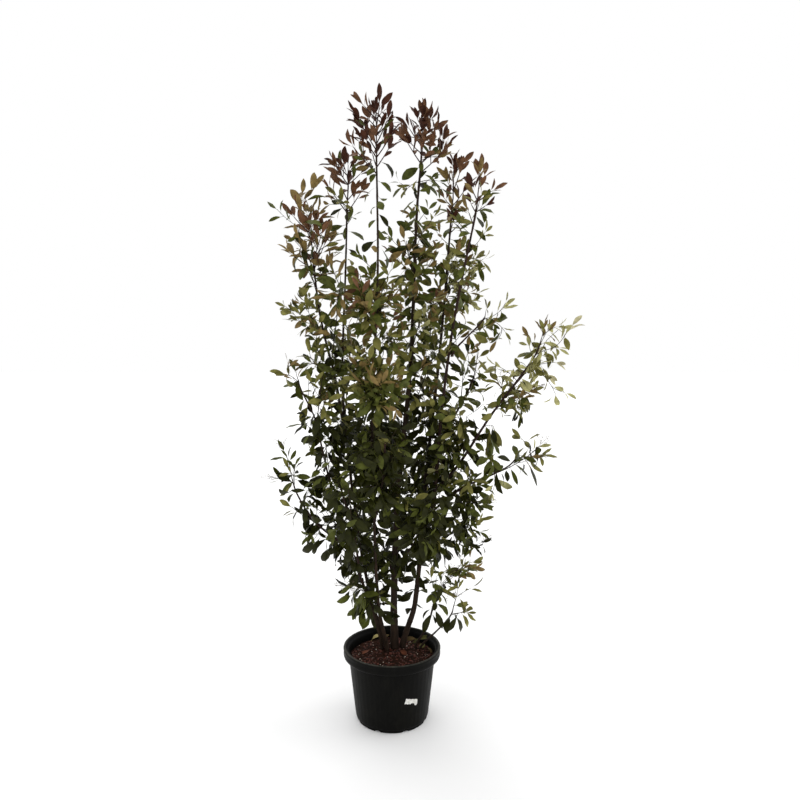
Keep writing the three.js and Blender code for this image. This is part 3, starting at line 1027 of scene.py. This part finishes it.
def dress_limbs(axes, solids):
    """Short leafy spurs and single hanging leaves straight on the limbs, which fill between the masses."""
    for order, (path, radii) in enumerate(axes.values()):
        reseed(LIMB_SEED + order)
        tangents = directions_of(path)
        turn = any_turn()
        for index in range(0, len(path), round(STEM_LEAF_STEP / AXIS_STEP)):
            turn += GOLDEN_TURN
            if path[index][2] > LOWEST_STEM_LEAF:
                colour = picked(style_at(path[index])["colours"][1])
                size = rng.uniform(*STEM_LEAF_SIZES)
                leaf_on(colour, FORMS["hanging"], path[index], tangents[index], turn, size)
        for index in range(2, len(path), round(SPUR_STEP / AXIS_STEP)):
            place, along = path[index], tangents[index]
            turn += GOLDEN_TURN
            if not SPUR_HEIGHTS[0] < place[2] < SPUR_HEIGHTS[1]:
                continue
            length = rng.uniform(*SPUR_LENGTHS)
            out = unit(heading(turn, rng.uniform(0.2, 1.0)) + 0.4 * along)
            tip = place + out * length
            if deepest(tip, solids) < -SPUR_STRAY:
                continue
            handle = place + out * 0.5 * length - UP * 0.1 * length
            spur = bezier(place, handle, tip, SPUR_POINTS)
            grow_twig(spur, min(0.7 * radii[index], SPUR_FOOT), style_at(place), SPUR_BARE)


# ---------- dried flower heads ----------

HEAD_MASSES = "skirt_left low_right skirt_right side_right side_tip_right bough_mid_right left_tip".split()
HEADS_ON_A_MASS = 2
HEAD_ARMS = 7
HEAD_STALKS = 4  # on each arm
HEAD_WIDTH = 0.036
STALK_RADII = (0.6 * MM, 0.45 * MM, 0.35 * MM)  # of the axis, of an arm and of the finest stalks
STALK_LENGTHS = (0.006, 0.012)
SPECK_SIZES = (0.9, 1.5)  # in millimetres
SPECK = np.array([(1, 0, 0), (-1, 0, 0), (0, 1, 0), (0, -1, 0), (0, 0, 1), (0, 0, -1)], float)
SPECK_FACES = [(0, 2, 4), (2, 1, 4), (1, 3, 4), (3, 0, 4), (2, 0, 5), (1, 2, 5), (3, 1, 5), (0, 3, 5)]


def flower_head(stalks, specks, place, along):
    """What last year's flowers left: a flat spray of bare stalks, with a husk on each tip."""
    axis_radius, arm_radius, stalk_radius = STALK_RADII
    axis_tip = place + along * HEAD_WIDTH * 1.3
    stalks.add(*tube(bezier(place, place + along * 0.02, axis_tip, 4), [axis_radius] * 4, 4))
    turn = any_turn()
    for arm in range(HEAD_ARMS):
        turn += GOLDEN_TURN
        foot = place + (axis_tip - place) * (0.25 + 0.7 * arm / HEAD_ARMS)
        out = unit(along * 0.9 + heading(turn, rng.uniform(-0.2, 0.4)))
        tip = foot + out * HEAD_WIDTH * rng.uniform(0.7, 1.1)
        stalks.add(*tube(bezier(foot, (foot + tip) / 2.0 + UP * 3.0 * MM, tip, 4), [arm_radius] * 4, 3))
        for _ in range(HEAD_STALKS):
            start = foot + (tip - foot) * rng.uniform(0.5, 1.0)
            end = start + unit(out + rng.normal(0.0, 0.6, 3)) * rng.uniform(*STALK_LENGTHS)
            stalks.add(*tube([start, (start + end) / 2.0, end], [stalk_radius] * 3, 3))
            specks.add(SPECK * rng.uniform(*SPECK_SIZES) * MM + end, SPECK_FACES)


def build_flower_heads(twig_tips):
    """Dried heads at the ends of outer twigs."""
    stalks, specks = MeshParts(), MeshParts()
    for node in HEAD_MASSES:
        tips = twig_tips[node]
        outward = [np.linalg.norm((tip - CROWN_AXIS)[:2]) for tip, _ in tips]
        for index in np.argsort(outward)[-HEADS_ON_A_MASS:]:
            flower_head(stalks, specks, *tips[index])
    dry = mottled_material("dry_stalk", "3a3125", "6b5c48", 90.0, 0.85, 0.2 * MM)
    stalks.piece("flower_stalks_dry", dry, "bark")
    husk = mottled_material("dry_husk", "4a3d2c", "7d6c53", 120.0, 0.9, 0.2 * MM)
    specks.piece("flower_husks_dry", husk, "bark", smooth=False)


# ---------- bark ----------

# For the stems from the soil and the boughs: sides of the mesh, the material's name, its colours and streak.
BARKS = {
    "stems_bark": (16, "old_bark", "1e1611", "3b2d22", 0.16),
    "boughs_bark": (10, "young_bark", "21150f", "3a2824", 0.2),
}
BARK_STEP = 0.012
JOIN_REACH = 0.012  # how far a bough's foot runs on into what carries it
JOIN_FLARE = 1.25  # how much wider it is there
SOIL_FLARE = 1.04  # how much wider a stem's foot is in the soil
BARK_SHARE = 1.18  # the bark's radius, as a share of the half width between the flat sides of a limb's solid
FLARE_HEIGHT = 0.2  # how far above a stem's foot the bark reaches that share
RELIEF = 0.07  # share of the radius
RELIEF_WAVES = 7
JOINT_STEP, JOINT_PLACE, JOINT_LENGTH = 0.085, 0.04, 0.008
JOINT_SWELL = 0.12


def add_bark(parts, path, radii, sides, in_soil):
    """One limb with fissured relief and swollen joints."""
    climb = 1.0
    if in_soil:
        path = np.concatenate([[path[0] - END_MARGIN * UP], path])
        radii = np.concatenate([radii[:1] * SOIL_FLARE, radii])
        climb = np.clip((path[:, 2] - path[0][2]) / FLARE_HEIGHT, 0.0, 1.0)
    radii = radii * (1.0 + (BARK_SHARE - 1.0) * climb)
    if not in_soil:
        path = np.concatenate([[path[0] - directions_of(path)[0] * JOIN_REACH], path])
        radii = np.concatenate([radii[:1] * JOIN_FLARE, radii])
    turn = full_turn(sides)
    along = (np.arange(len(path)) * BARK_STEP)[:, None]
    relief = np.zeros((len(path), sides))
    for _ in range(RELIEF_WAVES):
        ribs, pitch = rng.integers(2, 6), rng.uniform(20.0, 90.0)
        relief += np.sin(ribs * turn + pitch * along + any_turn()) / RELIEF_WAVES**0.5
    joints = 1.0 + JOINT_SWELL * np.exp(-(((along % JOINT_STEP) - JOINT_PLACE) / JOINT_LENGTH) ** 2)
    parts.add(*tube(path, radii[:, None] * joints * (1.0 + RELIEF * relief), sides))


def build_bark(axes):
    """The bark of the stems, which stand in the soil, and then of the boughs."""
    for name, (sides, material_name, dark, light, streak) in BARKS.items():
        in_soil = name == "stems_bark"
        nodes = [node for node, (path, _) in axes.items() if (path[0][2] < POT_TOP) == in_soil]
        parts = MeshParts()
        for node in nodes:
            add_bark(parts, *axes[node], sides, in_soil)
        piece = parts.piece(name, bark_material(material_name, dark, light, streak), "bark")
        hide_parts(*nodes)


# ---------- pot ----------

POT_SEGMENTS = 192
FLUTES = 48
FLUTE_DEPTH = 0.9 * MM
DRAIN_NOTCHES = 8
NOTCH_HEIGHT = 6.0 * MM
NOTCH_SHARE = 0.22  # of the way round the foot
NOTCH_REACH = (0.018, 0.0095)  # how far in from the foot's radius the notches run, and how high
BODY_INSET = 0.022  # how much smaller than the rim the body's radius is below the collar
FOOT_INSET = 0.054
COLLAR_DEPTH = 0.038
BODY_START = (0.004, 0.014)  # how much wider than the foot the body starts, and at what height
BODY_SHARES = np.linspace(0.06, 1.0, 14)
FLOOR_TOP = 0.009
# The pot's outline in millimetres, as steps out and up: from the foot's radius and the ground, from the rim's
# radius and the collar's lower edge, and from the rim's radius and the top.
FOOT_PROFILE = ((-22, 4), (-16, 0), (-4, 0), (-1, 1.5), (0, 5), (0, 9), (0.6, 11.5), (3, 13.8), (4.2, 18))
COLLAR_PROFILE = ((-6.5, 2), (-5.5, 0), (-4.2, -0.3), (-3, 1), (-1.2, 6), (-0.6, 12), (-1.2, 18))
RIM_PROFILE = (
    (-1.2, -12), (-0.2, -8), (0, -5), (-1, -2), (-3, -0.4), (-6, 0), (-9, -0.8), (-11, -3), (-12.5, -7),
    (-19, -13), (-23.5, -22),
)


def profile(radius, height, steps):
    """Places of the outline, from steps of so many millimetres from a radius and a height."""
    return [(radius + out * MM, height + up * MM) for out, up in steps]



def ring(radius, height, turn):
    """Points round the pot's axis. The radius and the height may differ from angle to angle."""
    return np.stack([radius * np.cos(turn), radius * np.sin(turn), height + 0.0 * turn], 1)


def turned_skin(rings, foot, head):
    """A closed skin over rings round the pot's axis, with end points on it at the heights foot and head."""
    quads, fans = skin_faces(len(rings), len(rings[0]))
    return np.concatenate([*rings, [[0.0, 0.0, foot], [0.0, 0.0, head]]]), quads + fans


def build_pot():
    """The nursery pot: rolled rim, hanging collar, fluted body, and a foot with drain notches."""
    body_top, foot, collar = POT_RADIUS - BODY_INSET, POT_RADIUS - FOOT_INSET, POT_TOP - COLLAR_DEPTH
    wider, start = BODY_START
    body = [
        (foot + wider + share * (body_top - foot - wider), start + share * (collar - start))
        for share in BODY_SHARES
    ]
    outline = profile(foot, 0.0, FOOT_PROFILE) + body
    outline += [(body_top + 0.001, POT_TOP - 0.012), (POT_RADIUS - 0.006, POT_TOP - 0.010)]
    outline += profile(POT_RADIUS, collar, COLLAR_PROFILE) + profile(POT_RADIUS, POT_TOP, RIM_PROFILE)
    outline += [(body_top - 0.0045, collar), (foot + 0.004, 0.02), (foot - 0.006, FLOOR_TOP)]
    turn = full_turn(POT_SEGMENTS)
    groove = 0.5 - 0.5 * np.abs(np.cos(FLUTES * turn / 2.0)) ** 0.6
    phase = (DRAIN_NOTCHES * turn / (2.0 * np.pi)) % 1.0
    notch = np.clip(1.0 - np.abs(phase - 0.5) / (NOTCH_SHARE / 2.0), 0.0, 1.0) ** 0.4
    rings = []
    for radius, height in outline:
        depth = FLUTE_DEPTH if (radius, height) in body[:-1] else 0.0
        notched = radius > foot - NOTCH_REACH[0] and height < NOTCH_REACH[1]
        rings.append(ring(radius - depth * groove, height + NOTCH_HEIGHT * notch * notched, turn))
    points, faces = turned_skin(rings, outline[0][1], FLOOR_TOP)
    pot = make_piece("pot_moulded", points, faces, pot_material())
    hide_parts("pot")


LABEL_AZIMUTH = -60.8  # degrees round the pot from +X
LABEL_HEIGHT = 0.128
LABEL_SIZE = (0.052, 0.026)
LABEL_SLOPE = -0.27  # how steeply it runs down to the right
LABEL_LEAN = -0.10  # how far the lower edge is drawn in
LABEL_FACES = (0.2 * MM, 0.8 * MM)  # how far its back and its front lie off the wall
LABEL_COLUMNS = 21
# The wall's radius at the foot, the height there, and how much wider it gets over what rise.
WALL_TAPER = (0.150, 0.014, 0.028, 0.246)


def wall_radius(height):
    foot_radius, foot_height, widening, rise = WALL_TAPER
    return foot_radius + (height - foot_height) / rise * widening


def build_label():
    """What is left of a torn paper label, blank, pressed on the pot's wall."""
    across = np.linspace(-0.5, 0.5, LABEL_COLUMNS)
    upper = 0.5 + 0.03 * np.sin(23.0 * across)
    torn = 0.22 * np.exp(-(((across - 0.12) / 0.14) ** 2)) + 0.04 * np.sin(31.0 * across + 1.0)
    lower = np.where(across < 0.3, -0.35 + torn, -0.5) + 0.25 * np.clip((across - 0.42) / 0.08, 0.0, 1.0)
    points = []
    for lift in LABEL_FACES:
        for edge, lean in ((upper, 0.0), (lower, LABEL_LEAN)):
            along = (across + lean * (0.5 - across)) * LABEL_SIZE[0]
            height = LABEL_HEIGHT + edge * LABEL_SIZE[1] + LABEL_SLOPE * along
            radius = wall_radius(height) + lift
            points.append(ring(radius, height, math.radians(LABEL_AZIMUTH) + along / radius))
    count = LABEL_COLUMNS
    faces = []
    for back in range(count - 1):
        front = 2 * count + back
        faces.append((front, front + 1, front + count + 1, front + count))
        faces.append((back + 1, back, back + count, back + count + 1))
        faces.append((back, back + 1, front + 1, front))
        faces.append((front + count, front + count + 1, back + count + 1, back + count))
    faces.append((0, 2 * count, 3 * count, count))
    faces.append((count - 1, 2 * count - 1, 4 * count - 1, 3 * count - 1))
    paper = mottled_material("blank_paper", "c9c7c0", "efeeea", 70.0, 0.7, 0.2 * MM)
    make_piece("label_scrap", np.concatenate(points), faces, paper, smooth=False)


# ---------- soil ----------

SOIL_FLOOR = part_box("root_ball")[0].z
SOIL_WIDTH, _, SOIL_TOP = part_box("root_ball")[1]
SOIL_EDGE = SOIL_WIDTH - 0.2 * MM
SOIL_RINGS = 56
SOIL_SEGMENTS = 180
SOIL_BELOW = ((0.150, 0.02), (0.140, SOIL_FLOOR))  # radius and height of the rings under the surface
SUNK = 1.0 * MM  # how far the mean surface lies below the solid's top
FLAT_RADIUS = 0.12  # beyond this the surface falls away
EDGE_FALL = 0.008
BIT_MARGIN = 0.006  # how far from the soil's edge loose bits end
CUBE = np.array([(x, y, z) for x in (-1, 1) for y in (-1, 1) for z in (-1, 1)], float)
CUBE_FACES = [(0, 1, 3, 2), (4, 6, 7, 5), (0, 4, 5, 1), (2, 3, 7, 6), (0, 2, 6, 4), (1, 5, 7, 3)]
# Loose bits: how many, their ranges of length, width and height, and the look of their material.
BITS = {
    "soil_bark_chips": (
        520, ((0.004, 0.015), (0.003, 0.008), (0.0015, 0.004)),
        ("bark_chips", "1f0f09", "642f20", 60.0, 0.85, 1.0 * MM),
    ),
    "soil_grit": (
        60, ((0.002, 0.006), (0.002, 0.005), (0.0015, 0.004)),
        ("pale_grit", "8d7a6a", "e2d6c8", 90.0, 0.8, 0.5 * MM),
    ),
}
# The colour of each kind of fallen leaf, and for each leaf where it starts on the soil, its heading in
# degrees and how steeply it rises.
FALLEN_LEAVES = {
    "yellow": ("968a58", ((-0.092, 0.105, 25.0, 0.9),)),
    # The olive leaves are darkened, as painted shade of the crown over the soil.
    "olive": ("45431c", ((0.077, 0.072, 30.0, 0.3), (0.141, 0.085, 250.0, 0.2), (0.100, 0.105, 350.0, 0.6))),
    "brown": ("4f4023", ((0.110, 0.120, 200.0, 0.4), (0.142, 0.052, 300.0, 0.1), (-0.030, 0.120, 80.0, 0.3))),
    "copper": ("5a3322", ((0.030, 0.020, 300.0, 0.1), (-0.090, 0.020, 230.0, 0.1))),
}
FALLEN_FORM = {"length": 0.05, "width": 0.4, "curl": 55.0, "fold": 20.0}
FALLEN_FACING = np.array([0.0, -0.7, 1.0])
FALLEN_LIFT = 0.005
FALLEN_ROUGHNESS = 0.6


def soil_height(x, y, radius, edge):
    """The uneven top of the soil: broad swells and crumbs, and a fall towards the edge."""
    fall = EDGE_FALL * max(0.0, (radius - FLAT_RADIUS) / (edge - FLAT_RADIUS))
    swell = 1.6 * MM * np.sin(31.0 * x + 1.0) * np.cos(37.0 * y) + 1.1 * MM * np.sin(83.0 * x - 61.0 * y)
    crumbs = 0.9 * MM * np.sin(410.0 * x + 3.0 * np.sin(190.0 * y)) * np.cos(450.0 * y + 2.0)
    return SOIL_TOP - fall - SUNK + swell + crumbs


def build_soil():
    turn = full_turn(SOIL_SEGMENTS)
    rings = []
    for share in np.linspace(0.03, 1.0, SOIL_RINGS):
        radius = SOIL_EDGE * share
        grain = rng.normal(0.0, 0.5 * MM, SOIL_SEGMENTS) * (share < 0.99)
        height = soil_height(radius * np.cos(turn), radius * np.sin(turn), radius, SOIL_EDGE) + grain
        rings.append(ring(radius, height, turn))
    rings += [ring(radius, height, turn) for radius, height in SOIL_BELOW]
    points, faces = turned_skin(rings, SOIL_TOP - SUNK, SOIL_FLOOR)
    # The rings run from the top down, so the faces are turned over.
    faces = [face[:1] + face[:0:-1] for face in faces]
    soil = make_piece("soil_top", points, faces, soil_material())
    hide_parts("root_ball")


def scatter_bits(count, sizes):
    """Angular crumbs lying on the soil, each with its own skew."""
    parts = MeshParts()
    reach = SOIL_EDGE - BIT_MARGIN
    for _ in range(count):
        radius = reach * math.sqrt(rng.uniform())
        x, y, _ = radius * heading(any_turn())
        size = np.array([rng.uniform(*pair) for pair in sizes])
        shape = CUBE * size / 2.0 * rng.uniform(0.6, 1.0, (8, 3))
        yaw, tilt = any_turn(), rng.normal(0.0, 0.35)
        spin = np.array([[math.cos(yaw), -math.sin(yaw), 0], [math.sin(yaw), math.cos(yaw), 0], [0, 0, 1]])
        tip = np.array([[1, 0, 0], [0, math.cos(tilt), -math.sin(tilt)], [0, math.sin(tilt), math.cos(tilt)]])
        place = np.array([x, y, soil_height(x, y, radius, reach) + size[2] * 0.3])
        parts.add(shape @ (spin @ tip).T + place, CUBE_FACES)
    return parts


def build_litter():
    """Bark chips, grit and fallen leaves on the soil."""
    for name, (count, sizes, look) in BITS.items():
        scatter_bits(count, sizes).piece(name, mottled_material(*look), "soil", smooth=False)
    for kind, (hex_colour, places) in FALLEN_LEAVES.items():
        fallen = Leaves()
        for x, y, degrees, rise in places:
            pointing = heading(math.radians(degrees), rise)
            facing = FALLEN_FACING + rng.normal(0.0, 0.3, 3)
            fallen.add(np.array([x, y, SOIL_TOP + FALLEN_LIFT]), pointing, facing, FALLEN_FORM)
        material = leaf_material("leaf_fallen_" + kind, hex_colour, FALLEN_ROUGHNESS)
        fallen.build("leaves_fallen_" + kind, material, "bronze_leaves")


# ---------- floor and light ----------

FLOOR_HALF = 40.0
FLOOR_CORNERS = [(x * FLOOR_HALF, y * FLOOR_HALF, 0.0) for x, y in ((-1, -1), (1, -1), (1, 1), (-1, 1))]
# Distant lights: the direction that each comes from, its power and its spread in degrees.
SUNS = {
    "back_light": ((-1.0, 2.2, 4.0), 0.7, 50.0),
    "side_light": ((3.5, 0.8, 2.6), 0.5, 40.0),
}


def build_studio():
    """The plain pale floor, the even white surroundings and two soft lights."""
    mesh = bpy.data.meshes.new("floor")
    mesh.from_pydata(FLOOR_CORNERS, [], [(0, 1, 2, 3)])
    shader = Shader("pale_floor")
    shader.feed("Base Color", shader.ramp(shader.noise(1.5), (0.3, "f8f8f8"), (0.7, "fcfcfc")))
    shader.set(Roughness=0.9, Specular_IOR_Level=0.1)
    mesh.materials.append(shader.material)
    floor = placed("floor", mesh)
    scene = bpy.context.scene
    scene.world = bpy.data.worlds.new("studio")
    scene.world.use_nodes = True
    background = scene.world.node_tree.nodes["Background"]
    background.inputs["Color"].default_value = (1.0, 1.0, 1.0, 1.0)
    background.inputs["Strength"].default_value = 1.0
    scene.view_settings.view_transform = "Standard"
    for name, (place, power, spread) in SUNS.items():
        data = bpy.data.lights.new(name, "SUN")
        data.energy = power
        data.angle = math.radians(spread)
        light = placed(name, data)
        light.location = place
        light.rotation_euler = (-Vector(place)).to_track_quat("-Z", "Y").to_euler()


# ---------- the whole scene ----------

LEAF_SLOTS = {"maroon": "young_leaves", "copper": "young_leaves", "bronze": "bronze_leaves"}
OTHER_LEAF_SLOT = "green_leaves"
TWIG_BARKS = (("red_twig", "281812", "3f2a22", 0.3), ("brown_twig", "1e1710", "382c1e", 0.3))


def grow_foliage(axes):
    """Grows everything that bears leaves, and gives the tips of each mass's twigs."""
    solids = {node: Solid(node) for node in MASSES}
    limbs = {**axes, **grow_laterals(axes, solids.values())}
    twig_tips = {}
    for order, (node, solid) in enumerate(solids.items()):
        reseed(SEEDS.get(node, FIRST_SEED + order))
        zone = STYLES[node]
        if node.startswith("spray"):
            grow_spray(zone, solid, axes)
        else:
            twig_tips[node] = grow_mass(zone, solid, twig_count(zone, solid), limbs)
    for order, (middle, radius, look, twigs) in enumerate(FILLS):
        reseed(FILL_SEED + order)
        grow_mass(style(look), Ball(middle, radius), twigs, limbs, leads=False)
    dress_limbs(limbs, solids.values())
    return twig_tips


def build_foliage():
    """Makes the leaf pieces, which replace the masses of their slot, and the twigs."""
    for colour, (hex_colour, roughness) in LEAF_COLOURS.items():
        slot = LEAF_SLOTS.get(colour, OTHER_LEAF_SLOT)
        material = leaf_material("leaf_" + colour, hex_colour, roughness)
        piece = leaves[colour].build("leaves_" + colour, material, slot)
        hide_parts(*[node for node in MASSES if SLOT_OF[node] == slot])
    young_bark, old_bark = (bark_material(*look) for look in TWIG_BARKS)
    young_twigs.piece("twigs_young", young_bark, "bark")
    old_twigs.piece("twigs_old", old_bark, "bark")


make_camera()
limb_axes = {node: limb_axis(node) for node in LIMBS}
build_bark(limb_axes)
outer_tips = grow_foliage(limb_axes)
build_foliage()
build_flower_heads(outer_tips)
build_pot()
build_label()
build_soil()
build_litter()
build_studio()

bpy.context.view_layer.update()
